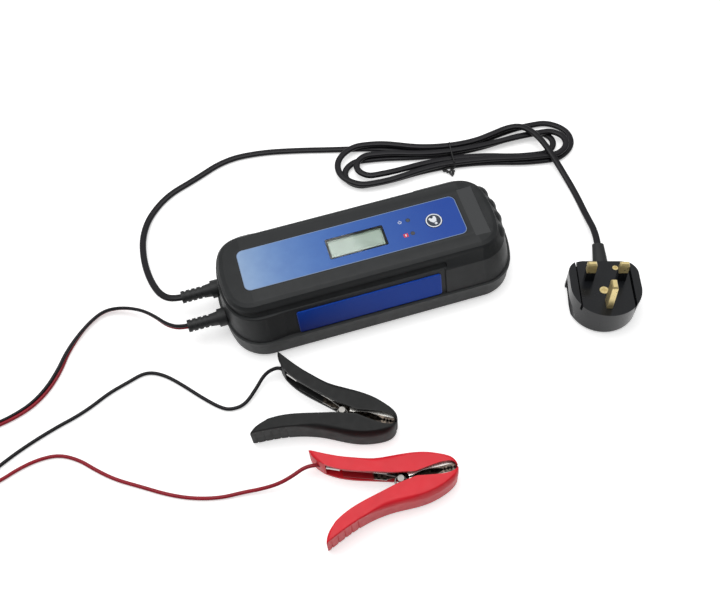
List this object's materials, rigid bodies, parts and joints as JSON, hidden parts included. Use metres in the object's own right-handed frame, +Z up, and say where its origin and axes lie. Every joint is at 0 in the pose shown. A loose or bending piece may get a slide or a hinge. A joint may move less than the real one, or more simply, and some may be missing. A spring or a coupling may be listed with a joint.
{
  "type": "car battery charger",
  "caption": "Car battery charger: long plastic case with a display panel, a tied mains cord with its plug, and a twin lead with a black and a red spring clamp.",
  "frame": {"origin": "middle of the case, at the level of the undersides of its rubber feet", "axes": "+X along the case, towards the end with the grip lobes and away from the two cable glands; +Y to the back, where the mains cord lies; +Z up"},
  "size_m": [0.5717, 0.3319, 0.0503],
  "materials": {
    "case_plastic": "fine texture",
    "soft_black": "matte",
    "screw_steel": "satin",
    "label_blue": "satin printed film",
    "window_clear": "clear",
    "lcd_grey": "satin",
    "lamp_clear": "clear",
    "lamp_red": "clear",
    "button_black": "satin",
    "board_green": "satin",
    "chip_black": "matte",
    "can_blue": "gloss",
    "sink_aluminium": "satin",
    "core_grey": "matte",
    "winding_yellow": "taped",
    "plug_black": "satin",
    "pin_brass": "satin",
    "fuse_white": "ceramic",
    "cord_black": "satin",
    "tie_black": "satin",
    "cord_red": "satin",
    "clamp_black": "satin",
    "clamp_red": "satin",
    "clamp_steel": "plated"
  },
  "bodies": {
    "charger": {"bottom_shell": "case_plastic", "top_shell": "case_plastic", "case_seal": "soft_black", "case_screws": "screw_steel", "board_screws": "screw_steel", "display_board_screws": "screw_steel", "rubber_feet": "soft_black", "label_film": "label_blue", "side_badge": "label_blue", "display_window": "window_clear", "lcd_module": "lcd_grey", "power_lamp": "lamp_clear", "fault_lamp": "lamp_red", "button_switch": "button_black", "display_board": "board_green", "main_board": "board_green", "controller_chip": "chip_black", "bulk_capacitor": "can_blue", "output_capacitors": "can_blue", "filter_choke": "chip_black", "heat_sink": "sink_aluminium", "power_transistors": "chip_black", "transformer_core": "core_grey", "transformer_winding": "winding_yellow", "mains_gland": "soft_black", "dc_gland": "soft_black", "mains_cord_in": "cord_black", "mains_hank": "cord_black", "hank_tie": "tie_black", "mains_cord_out": "cord_black", "cord_sleeve": "soft_black", "plug_cover": "plug_black", "plug_base": "plug_black", "plug_screws": "screw_steel", "plug_fuse": "fuse_white", "live_pin": "pin_brass", "neutral_pin": "pin_brass", "earth_pin": "pin_brass", "pin_sleeves": "plug_black", "twin_lead": "cord_black", "dc_coil": "cord_black", "coil_tie": "tie_black", "lead_splitter": "cord_black", "black_lead": "cord_black", "red_lead": "cord_red", "black_crimp": "clamp_steel", "red_crimp": "clamp_steel", "black_fixed_grip": "clamp_black", "black_fixed_jaw": "clamp_steel", "black_pivot_pin": "clamp_steel", "black_spring": "clamp_steel", "red_fixed_grip": "clamp_red", "red_fixed_jaw": "clamp_steel", "red_pivot_pin": "clamp_steel", "red_spring": "clamp_steel"},
    "button": {"mode_button": "button_black"},
    "black_half": {"black_moving_grip": "clamp_black", "black_moving_jaw": "clamp_steel"},
    "red_half": {"red_moving_grip": "clamp_red", "red_moving_jaw": "clamp_steel"}
  },
  "joints": [
    {"name": "button_press", "type": "slide", "parent": "charger", "child": "button", "axis": [0, 0, -1], "range_m": [0, 0.0005], "stiffness_N_per_m": 1500, "springref_m": -0.0004},
    {"name": "black_clamp_hinge", "type": "hinge", "parent": "charger", "child": "black_half", "pos_m": [-0.04603, -0.10478, 0.01], "axis": [0, 0, 1], "range_deg": [-32, 0], "stiffness_Nm_per_rad": 0.5, "springref_deg": 45.84, "deforming": ["black_spring"]},
    {"name": "red_clamp_hinge", "type": "hinge", "parent": "charger", "child": "red_half", "pos_m": [-0.023, -0.16109, 0.01], "axis": [0, 0, 1], "range_deg": [-32, 0], "stiffness_Nm_per_rad": 0.5, "springref_deg": 45.84, "deforming": ["red_spring"]}
  ]
}
